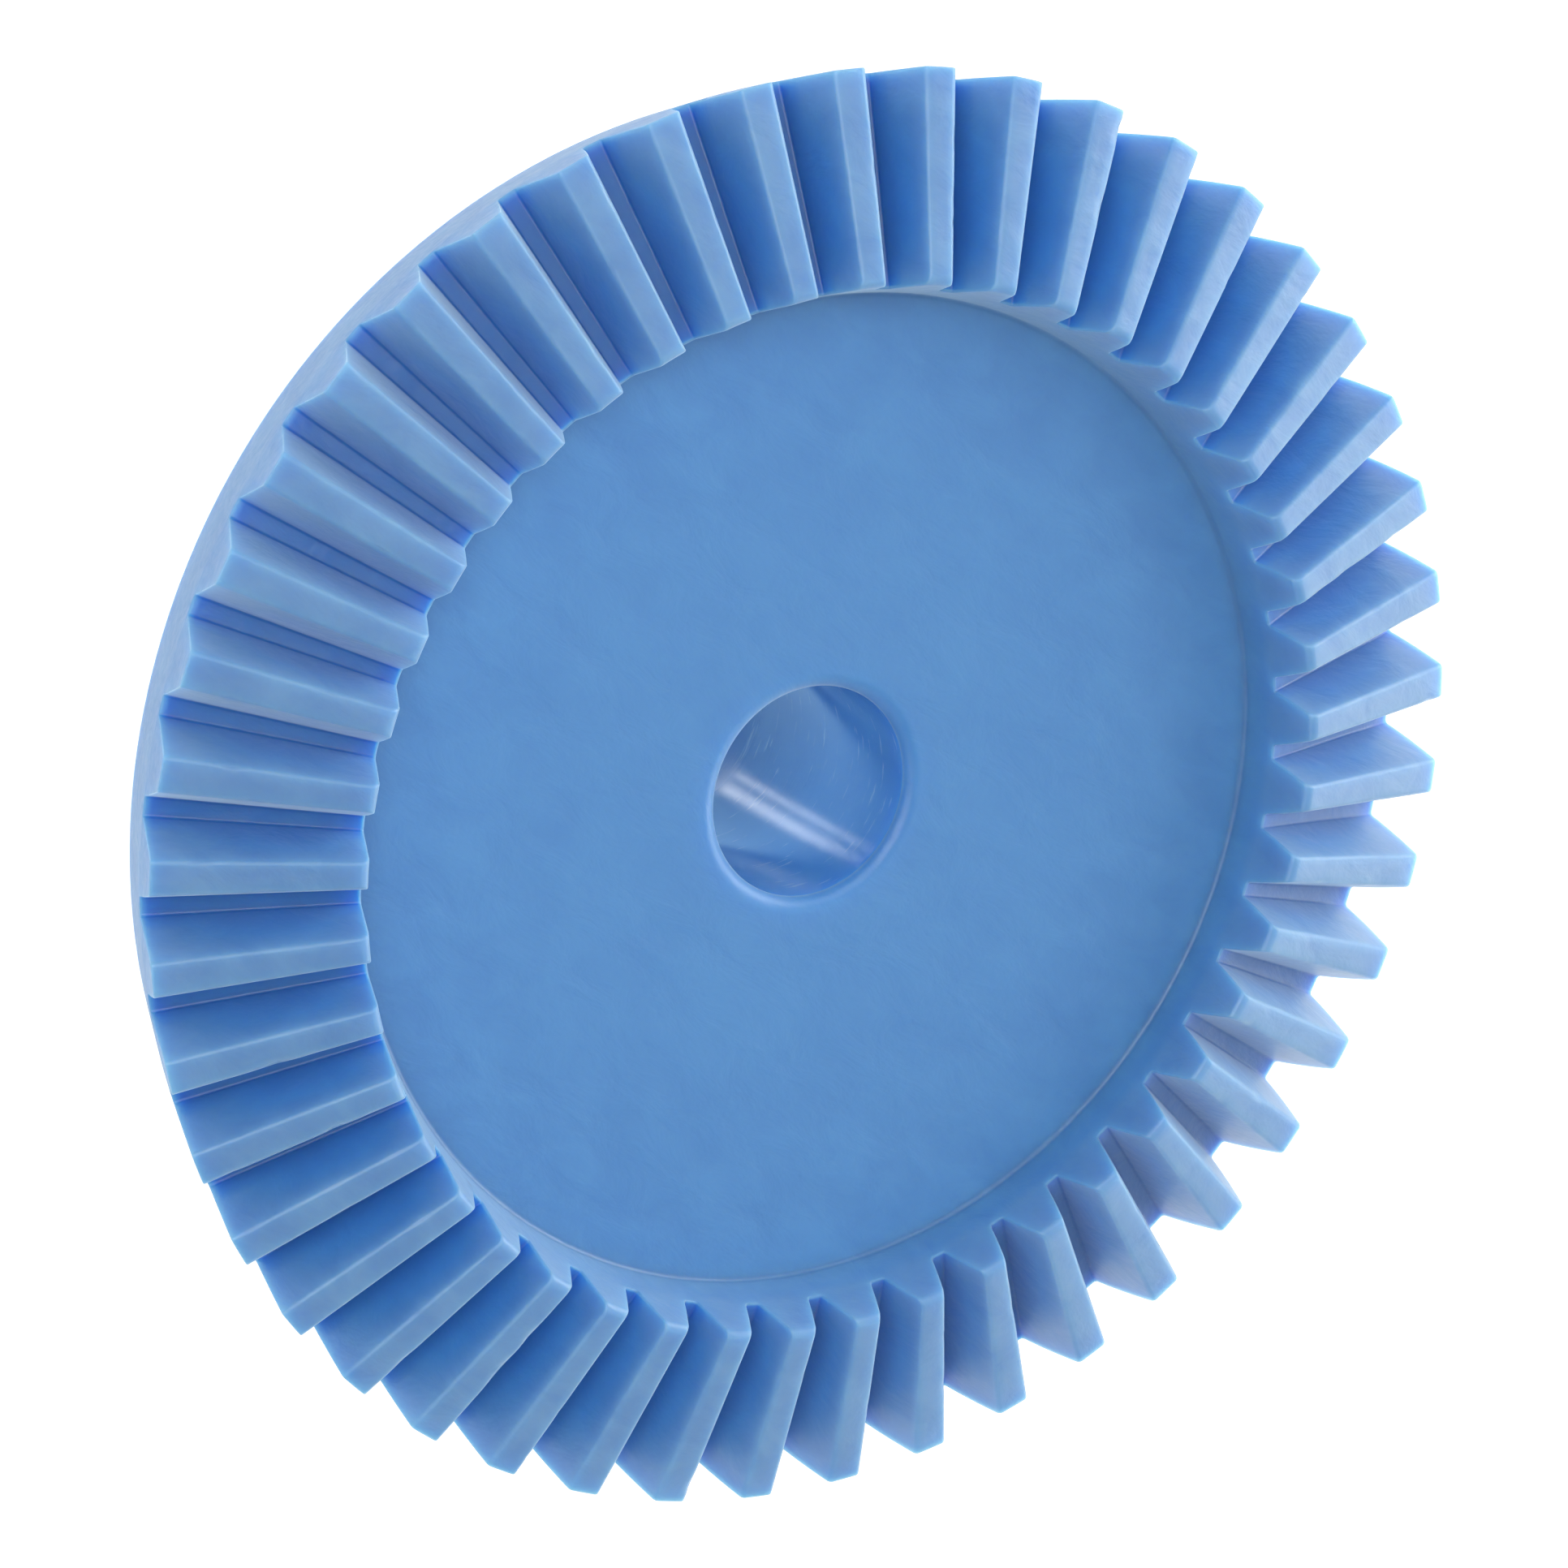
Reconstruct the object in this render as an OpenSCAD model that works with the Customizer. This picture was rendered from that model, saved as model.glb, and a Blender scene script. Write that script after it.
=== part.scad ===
// Straight bevel gear with a dished web, a rear hub and two hub set screws.
// The bore axis is Z. The hub's end face is at z = 0 and the teeth face +Z.

/* [Teeth] */
// Module at the outer end of the teeth
tooth_module = 1.5; // [1.4:0.05:1.6]
// Number of teeth
teeth = 45; // [42:1:48]
// Number of teeth on the pinion that this gear drives
pinion_teeth = 15; // [14:1:17]
// Length of the teeth along the pitch cone
face_w = 9.7; // [8:0.1:11]
// Height of a tooth above the pitch cone, at the outer end
addendum = 0.75; // [0.6:0.05:0.9]
// Whole depth of a tooth, at the outer end
whole_depth = 3.15; // [2.8:0.05:3.3]
// Width of the flat on top of a tooth, at the outer end
land_w = 1.6; // [1.4:0.05:1.8]
// Pressure angle of the flanks
pressure_angle = 20; // [18:0.5:21]
// Radius at the bottom of the tooth gaps
root_r = 0.3; // [0.15:0.05:0.35]

/* [Disc] */
// Distance from the point where the pitch cone ends to the hub's end face
mounting_distance = 28; // [27:0.5:30]
// Thickness from the crown plane to the back of the rim
rim_t = 7.35; // [6:0.05:8]
// Depth of the dish floor below the crown plane
dish_depth = 0.95; // [0.5:0.05:1.5]
// Radius in the corner of the dish
dish_r = 0.4; // [0.3:0.1:1]
// Chamfer on the back edge of the rim
rim_chamfer = 0.3; // [0.2:0.1:0.6]

/* [Hub and bore] */
// Bore diameter
bore_d = 10; // [8:0.5:10]
// Chamfer at both ends of the bore
bore_chamfer = 0.5; // [0.3:0.1:0.8]
// Hub diameter
hub_d = 30; // [28:0.5:34]
// Radius where the hub meets the back of the disc
hub_r = 1; // [0.5:0.1:1.5]
// Chamfer on the hub's end
hub_chamfer = 0.6; // [0.3:0.1:1]

/* [Set screws] */
// Thread diameter of the set screws
screw_d = 4; // [3:0.5:4]
// Length of a set screw
screw_len = 8; // [6:0.5:8]
// Gap between a set screw's point and the bore, at rest
point_gap = 0.3; // [0.2:0.05:0.5]
// Height of the set screws above the hub's end face
screw_z = 5; // [4.5:0.1:5.2]
// Outer diameter of the threaded inserts
insert_d = 6; // [5.6:0.1:6.4]
// Length of a threaded insert
insert_len = 7; // [5:0.5:7]
// Size of the hexagon socket across its flats
socket_af = 2; // [1.5:0.1:2]
// Depth of the hexagon socket
socket_depth = 2.5; // [2:0.1:3]

/* [Hidden] */
$fn = 96;

nylon = [0.35, 0.57, 0.78];
brass = [0.78, 0.62, 0.32];
steel = [0.22, 0.22, 0.24];

// Pitch cone, whose tip is the apex on the axis
pitch_angle = atan(teeth / pinion_teeth);
pitch_r = tooth_module * teeth / 2;
cone_len = pitch_r / sin(pitch_angle);
apex_z = mounting_distance;
toe_scale = (cone_len - face_w) / cone_len;
dedendum = whole_depth - addendum;

// Outer (heel) end of a tooth: radius and height at v above the pitch cone
function heel_r(v) = pitch_r + v * cos(pitch_angle);
function heel_z(v) = apex_z - pitch_r / tan(pitch_angle) + v * sin(pitch_angle);
// The same at the inner (toe) end, because every tooth surface runs to the apex
function toe_r(v) = toe_scale * heel_r(v);
function toe_z(v) = apex_z + toe_scale * (heel_z(v) - apex_z);

crown_z = heel_z(addendum);
rim_back_z = crown_z - rim_t;
dish_z = crown_z - dish_depth;
// Radii where the back cone meets the rim's back and the front cone meets the dish floor
rim_back_r = heel_r(addendum) - rim_t / tan(pitch_angle);
dish_floor_r = toe_r(addendum) - (toe_z(addendum) - dish_z) / tan(pitch_angle);

// Flanks are involutes of the virtual gear, which is the back cone laid flat
virtual_r = cone_len * tan(pitch_angle);
base_r = virtual_r * cos(pressure_angle);
function inv(a) = tan(a) - a * PI / 180;
function roll(v) = inv(acos(base_r / (virtual_r + v)));
function tooth_half(v) = (virtual_r + v)
    * (land_w / 2 / (virtual_r + addendum) + roll(addendum) - roll(v));
function gap_half(v) = PI * heel_r(v) / teeth - tooth_half(v);

// Outline of half a gap at the heel, as [half width, height above the pitch cone]
flank_steps = 3;
fillet_steps = 3;
over_cut = 1;
fillet_v = -dedendum + root_r * (1 - sin(pressure_angle));
flank = [for (i = [0 : flank_steps])
    let (v = addendum + over_cut + (fillet_v - addendum - over_cut) * i / flank_steps)
    [gap_half(v), v]];
fillet_c = gap_half(fillet_v) - root_r * cos(pressure_angle);
fillet = [for (i = [1 : fillet_steps])
    let (a = -pressure_angle - (90 - pressure_angle) * i / fillet_steps)
    [fillet_c + root_r * cos(a), -dedendum + root_r + root_r * sin(a)]];
gap_side = concat(flank, fillet);
gap_outline = concat(
    gap_side,
    [for (i = [len(gap_side) - 1 : -1 : 0]) [-gap_side[i].x, gap_side[i].y]]);

// A gap outline point on the back cone, as x, y, z measured from the apex
function on_back_cone(p) =
    let (r = heel_r(p.y), turn = p.x / r * 180 / PI)
    [r * cos(turn), r * sin(turn), heel_z(p.y) - apex_z];

// One tooth gap: a wedge whose sides all run to the apex, long enough to pass both ends
module tooth_gap() {
    n = len(gap_outline);
    heel_scale = 1.08;
    inner_scale = toe_scale * 0.9;
    ring = [for (p = gap_outline) on_back_cone(p)];
    translate([0, 0, apex_z])
        polyhedron(
            points = concat(heel_scale * ring, inner_scale * ring),
            faces = concat(
                [[for (i = [0 : n - 1]) i]],
                [[for (i = [n - 1 : -1 : 0]) n + i]],
                [for (i = [0 : n - 1]) [i, n + i, n + (i + 1) % n, (i + 1) % n]]));
}

// Points of a round corner between two directions, from angle a0 to a1 about a centre
function arc(c, r, a0, a1, steps) =
    [for (i = [0 : steps]) let (a = a0 + (a1 - a0) * i / steps) c + r * [cos(a), sin(a)]];

// Corner of the dish: it blends the flat floor into the front cone
dish_tangent = dish_r * tan(pitch_angle / 2);
dish_corner = arc([dish_floor_r - dish_tangent, dish_z + dish_r], dish_r,
    -90, -90 + pitch_angle, 5);
hub_corner = arc([hub_d / 2 + hub_r, rim_back_z - hub_r], hub_r, 180, 90, 5);

blank_outline = concat(
    [[bore_d / 2, bore_chamfer], [bore_d / 2 + bore_chamfer, 0]],
    [[hub_d / 2 - hub_chamfer, 0], [hub_d / 2, hub_chamfer]],
    hub_corner,
    [[rim_back_r - rim_chamfer, rim_back_z],
     [rim_back_r + rim_chamfer / tan(pitch_angle), rim_back_z + rim_chamfer]],
    [[heel_r(addendum), heel_z(addendum)], [toe_r(addendum), toe_z(addendum)]],
    [for (i = [len(dish_corner) - 1 : -1 : 0]) dish_corner[i]],
    [[bore_d / 2 + bore_chamfer, dish_z], [bore_d / 2, dish_z - bore_chamfer]]);

// Set screw layout, measured from the bore axis along the screw
insert_gap = 0.05;
insert_end = hub_d / 2 - 0.5;
insert_start = insert_end - insert_len;
screw_start = bore_d / 2 + point_gap;
point_hole_d = screw_d + 0.6;
turn_a = 0;
turn_b = -90;

// Lays a shape that points up Z along a set screw's line
module along_screw(turn) {
    rotate([0, 0, turn]) translate([0, 0, screw_z]) rotate([0, 90, 0]) children();
}

// Hole in the hub for one insert, with a narrower hole on to the bore
module screw_hole(turn) {
    along_screw(turn) {
        translate([0, 0, insert_start]) cylinder(d = insert_d, h = hub_d);
        cylinder(d = point_hole_d, h = insert_start + 1);
    }
}

module gear_body() {
    color(nylon)
        difference() {
            rotate_extrude() polygon(blank_outline);
            for (i = [0 : teeth - 1])
                rotate([0, 0, (i + 0.5) * 360 / teeth]) tooth_gap();
            screw_hole(turn_a);
            screw_hole(turn_b);
        }
}

// Brass insert with two grips and a groove between them
module screw_insert(turn) {
    grip_r = insert_d / 2;
    groove_r = grip_r - 0.3;
    hole_r = screw_d / 2 + insert_gap;
    grip_len = insert_len * 0.4;
    color(brass)
        along_screw(turn)
            translate([0, 0, insert_start])
                rotate_extrude()
                    polygon([
                        [hole_r, 0], [grip_r, 0],
                        [grip_r, grip_len], [groove_r, grip_len],
                        [groove_r, insert_len - grip_len], [grip_r, insert_len - grip_len],
                        [grip_r, insert_len], [hole_r, insert_len]]);
}

// Headless screw with a cup point towards the bore and a hexagon socket outwards
module set_screw(turn) {
    r = screw_d / 2;
    cup_r = r * 0.55;
    cup_depth = r * 0.35;
    point_len = r * 0.4;
    end_chamfer = 0.3;
    color(steel)
        along_screw(turn)
            translate([0, 0, screw_start])
                difference() {
                    rotate_extrude()
                        polygon([
                            [0, cup_depth], [cup_r, 0], [cup_r + 0.1, 0], [r, point_len],
                            [r, screw_len - end_chamfer], [r - end_chamfer, screw_len],
                            [0, screw_len]]);
                    translate([0, 0, screw_len - socket_depth])
                        cylinder(d = socket_af / cos(30), h = socket_depth + 1, $fn = 6);
                }
}

module screw_insert_a() { screw_insert(turn_a); }
module screw_insert_b() { screw_insert(turn_b); }
module set_screw_a() { set_screw(turn_a); }
module set_screw_b() { set_screw(turn_b); }

gear_body();
screw_insert_a();
screw_insert_b();
set_screw_a();
set_screw_b();
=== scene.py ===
"""The looks of a straight bevel gear in blue nylon, with two set screws in its hub.

The shape functions work in millimetres. Everything is turned to metres as its mesh is made.
"""
import math

import bmesh
import bpy
import numpy as np
from mathutils import Matrix, Vector


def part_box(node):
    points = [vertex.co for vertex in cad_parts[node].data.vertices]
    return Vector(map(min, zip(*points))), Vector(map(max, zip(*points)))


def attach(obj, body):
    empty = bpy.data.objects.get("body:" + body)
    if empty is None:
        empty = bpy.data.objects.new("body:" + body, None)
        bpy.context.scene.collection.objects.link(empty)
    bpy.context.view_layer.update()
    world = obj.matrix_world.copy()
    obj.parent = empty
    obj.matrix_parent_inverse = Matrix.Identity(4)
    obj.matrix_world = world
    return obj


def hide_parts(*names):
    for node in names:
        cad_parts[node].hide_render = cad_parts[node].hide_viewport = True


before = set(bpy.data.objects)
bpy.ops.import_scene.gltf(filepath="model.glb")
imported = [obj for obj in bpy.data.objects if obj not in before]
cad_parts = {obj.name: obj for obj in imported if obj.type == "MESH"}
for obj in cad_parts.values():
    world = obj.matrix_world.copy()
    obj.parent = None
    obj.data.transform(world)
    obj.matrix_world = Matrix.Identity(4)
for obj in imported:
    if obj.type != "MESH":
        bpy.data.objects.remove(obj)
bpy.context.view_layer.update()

MM = 0.001

# Teeth, in millimetres. v is a height above the pitch cone, measured along the back cone.
MODULE = 1.5
TEETH = 45
PINION_TEETH = 15
FACE_W = 9.7
ADDENDUM = 0.75
WHOLE_DEPTH = 3.15
DEDENDUM = WHOLE_DEPTH - ADDENDUM
LAND_W = 1.6
PRESSURE_ANGLE = math.radians(20)
ROOT_R = 0.2

PITCH_ANGLE = math.atan(TEETH / PINION_TEETH)
PITCH_R = MODULE * TEETH / 2
CONE_LEN = PITCH_R / math.sin(PITCH_ANGLE)
TOE_SCALE = (CONE_LEN - FACE_W) / CONE_LEN
PITCH_DROP = PITCH_R / math.tan(PITCH_ANGLE)
VIRTUAL_R = CONE_LEN * math.tan(PITCH_ANGLE)
BASE_R = VIRTUAL_R * math.cos(PRESSURE_ANGLE)

# The toe tips are the highest points of the gear, so its top gives the apex of the cones
GEAR_TOP = (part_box("gear_body")[1] / MM).z
APEX_Z = GEAR_TOP + TOE_SCALE * (PITCH_DROP - ADDENDUM * math.sin(PITCH_ANGLE))

# Disc, bore and hub
RIM_T = 7.35
DISH_DEPTH = 0.95
DISH_CORNER_R = 0.3
RIM_EDGE_R = 0.25
BORE_R = 5.0
BORE_BACK_R = 0.5
# The front of the bore is rounded by this radius over this turn, and then meets a sharp edge
BORE_MOUTH_R = 0.85
BORE_MOUTH_TURN = 65
# The bore's wall starts this far below the dish, just under that edge
BORE_TOP_DROP = 0.6
HUB_R = 15.0
HUB_CORNER_R = 1.0
HUB_END_R = 0.6

# Rounding of the tooth edges
TIP_EDGE_R = 0.27
TOE_LAND_R = 0.42
TOE_EDGE_R = 0.1
HEEL_EDGE_R = 0.06

# Nicks in the tip edges, which keep clear of the ends of a tooth
NICK_SEED = 45
NICK_FREE_HEEL = 0.7
NICK_FREE_TOE = 0.9
NICK_SPREAD = 2.0
LEAST_PUSH = 0.001

# Set screws: where they sit, and their thread, cup point and socket
SCREW_TURNS = {"a": 0.0, "b": -90.0}
SCREW_Z = 5.0
SCREW_START = 5.3
SCREW_LEN = 8.0
SCREW_R = 1.98
SCREW_PITCH = 0.7
THREAD_DEPTH = 0.36
SCREW_BEVEL = 0.3
POINT_LEN = 0.8
CUP_R = 1.1
CUP_RIM_W = 0.12
CUP_DEPTH = 0.5
SOCKET_FLAT_R = 1.0
SOCKET_DEPTH = 2.5
SOCKET_BEVEL = 0.12
SOCKET_DRILL_R = 0.5

# Inserts: two knurled grips with a groove between them
INSERT_START = 7.5
INSERT_LEN = 7.0
INSERT_R = 3.0
INSERT_PLAY = 0.02
KNURLS = 24
KNURL_DEPTH = 0.14
GRIP_LEN = 0.4 * INSERT_LEN
GROOVE_DEPTH = 0.32
GROOVE_SLOPE = 0.12
INSERT_BEVEL_W = 0.28
INSERT_BEVEL_LEN = 0.15
INSERT_HOLE_R = 2.06
INSERT_THREAD_DEPTH = 0.3
INSERT_MOUTH_R = INSERT_HOLE_R + 0.32
INSERT_MOUTH_LEN = 0.05
INSERT_THREAD_PHASE = 0.35

# The holes they sit in. A cutter reaches past the walls that it cuts, and its points are turned
# by a share of a step, which keeps them off the gear's own points
POINT_HOLE_R = 2.3
CUTTER_SPARE = 3.0
CUTTER_TURN = 0.37
MERGE_DISTANCE = 0.001

# Points round a piece, and rows for each turn of its thread
CUTTER_POINTS = 96
FLOOR_POINTS = 96
SCREW_POINTS = 72
SCREW_THREAD_ROWS = 14
INSERT_POINTS = 144
INSERT_THREAD_ROWS = 12


def heel_r(v):
    return PITCH_R + v * math.cos(PITCH_ANGLE)


def heel_z(v):
    return -PITCH_DROP + v * math.sin(PITCH_ANGLE)


CROWN_Z = APEX_Z + heel_z(ADDENDUM)
DISH_Z = CROWN_Z - DISH_DEPTH
RIM_BACK_Z = CROWN_Z - RIM_T


def roll_angle(v):
    a = math.acos(BASE_R / (VIRTUAL_R + v))
    return math.tan(a) - a


def tooth_half(v):
    """Half the thickness of a tooth at height v: an involute of the virtual gear."""
    land_angle = LAND_W / 2 / (VIRTUAL_R + ADDENDUM)
    return (VIRTUAL_R + v) * (land_angle + roll_angle(ADDENDUM) - roll_angle(v))


def flank_lean(v):
    """Angle between a flank and the tooth's own centre line at height v."""
    step = 0.01
    return math.atan((tooth_half(v - step) - tooth_half(v + step)) / (2 * step))


# Steps along half of a tooth's outline
LAND_SPLITS = 2
TIP_SPLITS = 4
FLANK_SPLITS = 6
FILLET_SPLITS = 5
SIDE_POINTS = LAND_SPLITS + (TIP_SPLITS + 1) + (FLANK_SPLITS - 1) + (FILLET_SPLITS + 1) + 1
# Positions along the outline where the tip arc starts and ends, and where the root fillet ends
ARC_START = LAND_SPLITS
ARC_END = LAND_SPLITS + TIP_SPLITS
FILLET_END = SIDE_POINTS - 2
# Steps round the edges at a tooth's ends, and rows between them
HEEL_EDGE_STEPS = 4
TOE_EDGE_STEPS = 5
MIDDLE_ROWS = 26


def tooth_side(tip_v):
    """Outline of half a tooth at the heel from the middle of its land to the middle of the gap.

    Returns points (across, v), outward normals, and how far each point follows the rounding
    of the tooth's ends: 0 on the land, which has its own, and 1 on the flank and the root."""
    points, normals, share = [], [], []

    def add(x, v, nx, nv, w):
        points.append((x, v))
        normals.append((nx, nv))
        share.append(w)

    lean = flank_lean(tip_v)
    arc_v = tip_v - TIP_EDGE_R * (1 - math.sin(lean))
    arc_x = tooth_half(arc_v) - TIP_EDGE_R * math.cos(lean)
    for i in range(LAND_SPLITS):
        add(arc_x * i / LAND_SPLITS, tip_v, 0, 1, 0)
    for i in range(TIP_SPLITS + 1):
        t = i / TIP_SPLITS
        a = math.pi / 2 + (lean - math.pi / 2) * t
        add(arc_x + TIP_EDGE_R * math.cos(a), tip_v - TIP_EDGE_R + TIP_EDGE_R * math.sin(a),
            math.cos(a), math.sin(a), t)
    lean = flank_lean(-DEDENDUM)
    root_v = -DEDENDUM + ROOT_R * (1 - math.sin(lean))
    for i in range(1, FLANK_SPLITS):
        v = arc_v + (root_v - arc_v) * i / FLANK_SPLITS
        a = flank_lean(v)
        add(tooth_half(v), v, math.cos(a), math.sin(a), 1)
    root_x = tooth_half(root_v) + ROOT_R * math.cos(lean)
    for i in range(FILLET_SPLITS + 1):
        a = math.pi + lean + (math.pi / 2 - lean) * i / FILLET_SPLITS
        add(root_x + ROOT_R * math.cos(a), -DEDENDUM + ROOT_R + ROOT_R * math.sin(a),
            -math.cos(a), -math.sin(a), 1)
    add(math.pi * heel_r(-DEDENDUM) / TEETH, -DEDENDUM, 0, 1, 1)
    return np.array(points), np.array(normals), np.array(share)


def round_off(distance, radius):
    """How far a rounded edge has dropped at this distance from the end it rounds."""
    reach = max(radius - distance, 0.0)
    return radius - math.sqrt(max(radius * radius - reach * reach, 0.0))


def end_distances(radii, steps):
    """Distances from an end at which a rounding of each radius wants a row."""
    found = {0.0}
    for radius in radii:
        for i in range(steps):
            found.add(round(radius * (1 - math.sin(math.pi / 2 * i / steps)), 4))
    return sorted(found)


def between(start, end, count):
    """Evenly spaced values from start to end, without the two ends."""
    return np.linspace(start, end, count + 2)[1:-1]


def tooth_rows():
    """Distances of a tooth's rows of points from its heel, in order from heel to toe."""
    heel = end_distances([HEEL_EDGE_R], HEEL_EDGE_STEPS)
    toe = end_distances([TOE_EDGE_R, TOE_LAND_R], TOE_EDGE_STEPS)
    middle = between(heel[-1], FACE_W - toe[-1], MIDDLE_ROWS)
    return heel + list(middle) + [FACE_W - d for d in reversed(toe)]


def section(along):
    """A tooth's outline this far from the heel, from one gap's middle to the next.

    Returns its points at the heel's size, their normals, and the scale they are to have."""
    scale = 1 - along / CONE_LEN
    to_toe = FACE_W - along
    tip_v = ADDENDUM - round_off(to_toe, TOE_LAND_R) / scale
    points, normals, share = tooth_side(tip_v)
    toe_cut = round_off(to_toe, TOE_EDGE_R) / scale
    heel_cut = round_off(along, HEEL_EDGE_R) / scale
    right = points - normals * (toe_cut * share + heel_cut)[:, None]
    # The middle of the gap stays on the boundary between two teeth
    right[-1, 0] = math.pi * heel_r(right[-1, 1]) / TEETH
    left = right[::-1] * [-1, 1]
    left_normals = normals[::-1] * [-1, 1]
    return np.vstack([left, right[1:]]), np.vstack([left_normals, normals[1:]]), scale


def on_cone(across, v, scale, turn=0.0):
    """A point of the heel's outline, scaled towards the apex and turned about the axis."""
    r = heel_r(v)
    a = turn + across / r
    return np.stack([scale * r * np.cos(a), scale * r * np.sin(a),
                     APEX_Z + scale * heel_z(v)], axis=-1)


class Surface:
    """Collects points and faces, with one value for each point that its material reads."""

    def __init__(self):
        self.points, self.faces, self.values = [], [], []

    def add(self, points, values=0.5):
        start = len(self.points)
        values = np.broadcast_to(values, len(points))
        self.points.extend(map(tuple, points))
        self.values.extend(values)
        return np.arange(start, start + len(points))

    def strip(self, low, high, closed=True):
        """Quads between two rows of point numbers."""
        n = len(low)
        for i in range(n if closed else n - 1):
            k = (i + 1) % n
            self.faces.append((low[i], low[k], high[k], high[i]))

    def fan(self, ring, centre, flip=False):
        n = len(ring)
        for i in range(n):
            a, b = ring[i], ring[(i + 1) % n]
            self.faces.append((centre, b, a) if flip else (centre, a, b))

    def mesh(self, name, turn=None, closed=True):
        data = bpy.data.meshes.new(name)
        points = np.array(self.points)
        if turn is not None:
            points = points @ np.array(turn.to_3x3()).T + np.array(turn.translation)
        data.from_pydata((points * MM).tolist(), [], [tuple(map(int, f)) for f in self.faces])
        # Each point's value: the nylon's own tone, or painted light and shade on teeth, back cone
        # and bore edge
        tone_and_painted_light = data.attributes.new("tone_and_painted_light", "FLOAT", "POINT")
        tone_and_painted_light.data.foreach_set("value", np.array(self.values, np.float32))
        data.update()
        made = bpy.data.objects.new(name, data)
        bpy.context.scene.collection.objects.link(made)
        if closed:
            face_outwards(made)
        return made


def stop_if_open(mesh, name):
    """Stops the script if a piece that has to be closed isn't."""
    open_edges = sum(1 for edge in mesh.edges if len(edge.link_faces) != 2)
    if open_edges:
        raise RuntimeError(f"{name} has {open_edges} open edges")


def face_outwards(piece):
    """Turns every face of a closed piece outwards."""
    mesh = bmesh.new()
    mesh.from_mesh(piece.data)
    bmesh.ops.recalc_face_normals(mesh, faces=mesh.faces)
    stop_if_open(mesh, piece.name)
    mesh.to_mesh(piece.data)
    mesh.free()


def tooth_nicks(rng):
    """Small nicks along one tooth's two tip edges: (side, place, half length, depth)."""
    count = rng.integers(2, 6)
    return [(rng.choice([-1, 1]), rng.uniform(0.8, FACE_W - 1.0), rng.uniform(0.15, 0.5),
             rng.uniform(0.02, 0.09)) for _ in range(count)]


def nicked(outline, normals, along, nicks):
    """Pushes the tip edges of one tooth outline in where it has nicks."""
    out = outline.copy()
    middle = SIDE_POINTS - 1
    for side, place, half, depth in nicks:
        push = depth * math.exp(-((along - place) / half) ** 2)
        if push < LEAST_PUSH:
            continue
        for j in range(ARC_START - 1, ARC_END + 2):
            i = middle + side * j
            weight = math.exp(-((j - (ARC_START + ARC_END) / 2) / NICK_SPREAD) ** 2)
            out[i] -= normals[i] * push * weight
    return out


def arc_points(centre, radius, start, end, steps):
    """Points of an arc between two angles in degrees."""
    angles = np.radians(np.linspace(start, end, steps + 1))
    return [(centre[0] + radius * math.cos(a), centre[1] + radius * math.sin(a)) for a in angles]


def line_points(start, end, places):
    """Points of a straight line at these shares of its length."""
    return [(start[0] + (end[0] - start[0]) * t, start[1] + (end[1] - start[1]) * t)
            for t in places]


def front_outline(top_v):
    """Radius and height from the foot of the teeth, over the dish, into the bore."""
    cone = math.degrees(PITCH_ANGLE)
    floor_r = TOE_SCALE * heel_r(ADDENDUM) - (GEAR_TOP - DISH_Z) / math.tan(PITCH_ANGLE)
    tangent = DISH_CORNER_R * math.tan(PITCH_ANGLE / 2)
    centre = (floor_r - tangent, DISH_Z + DISH_CORNER_R)
    corner = arc_points(centre, DISH_CORNER_R, cone - 90, -90, steps=6)
    top = (TOE_SCALE * heel_r(top_v), APEX_Z + TOE_SCALE * heel_z(top_v))
    wall = line_points(top, corner[0], (0.33, 0.67))
    mouth_r = BORE_R + BORE_MOUTH_R * math.sin(math.radians(BORE_MOUTH_TURN))
    floor = [(r, DISH_Z) for r in between(corner[-1][0], mouth_r, 12)]
    mouth = arc_points((mouth_r, DISH_Z - BORE_MOUTH_R), BORE_MOUTH_R,
                       90, 90 + BORE_MOUTH_TURN, steps=7)
    return wall + corner + floor + mouth


def back_outline(top_v):
    """Radius and height from the foot of the teeth, down the back cone, to the bore."""
    cone = math.degrees(PITCH_ANGLE)
    top = (heel_r(top_v), APEX_Z + heel_z(top_v))
    rim_r = heel_r(ADDENDUM) - RIM_T / math.tan(PITCH_ANGLE)
    centre = (rim_r - RIM_EDGE_R / math.tan(PITCH_ANGLE / 2), RIM_BACK_Z + RIM_EDGE_R)
    edge = arc_points(centre, RIM_EDGE_R, cone - 90, -90, steps=5)
    band = line_points(top, edge[0], (0.2, 0.4, 0.6, 0.8))
    hub_foot = HUB_R + HUB_CORNER_R
    face = [(r, RIM_BACK_Z) for r in between(edge[-1][0], hub_foot, 6)]
    corner = arc_points((hub_foot, RIM_BACK_Z - HUB_CORNER_R), HUB_CORNER_R, 90, 180, steps=6)
    side = [(HUB_R, z) for z in between(RIM_BACK_Z - HUB_CORNER_R, HUB_END_R, 10)]
    end = arc_points((HUB_R - HUB_END_R, HUB_END_R), HUB_END_R, 0, -90, steps=5)
    inner = BORE_R + BORE_BACK_R
    flat = [(r, 0.0) for r in between(HUB_R - HUB_END_R, inner, 4)]
    mouth = arc_points((inner, BORE_BACK_R), BORE_BACK_R, -90, -180, steps=5)
    bore = [(BORE_R, z) for z in np.linspace(BORE_BACK_R, DISH_Z - BORE_TOP_DROP, 14)[1:]]
    return band + edge + face + corner + side + end + flat + mouth + bore


def ring(r, z, angles):
    """Points round the axis at one height. The radius may differ from point to point."""
    return np.stack([r * np.cos(angles), r * np.sin(angles), np.full(len(angles), z)], axis=-1)


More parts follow.
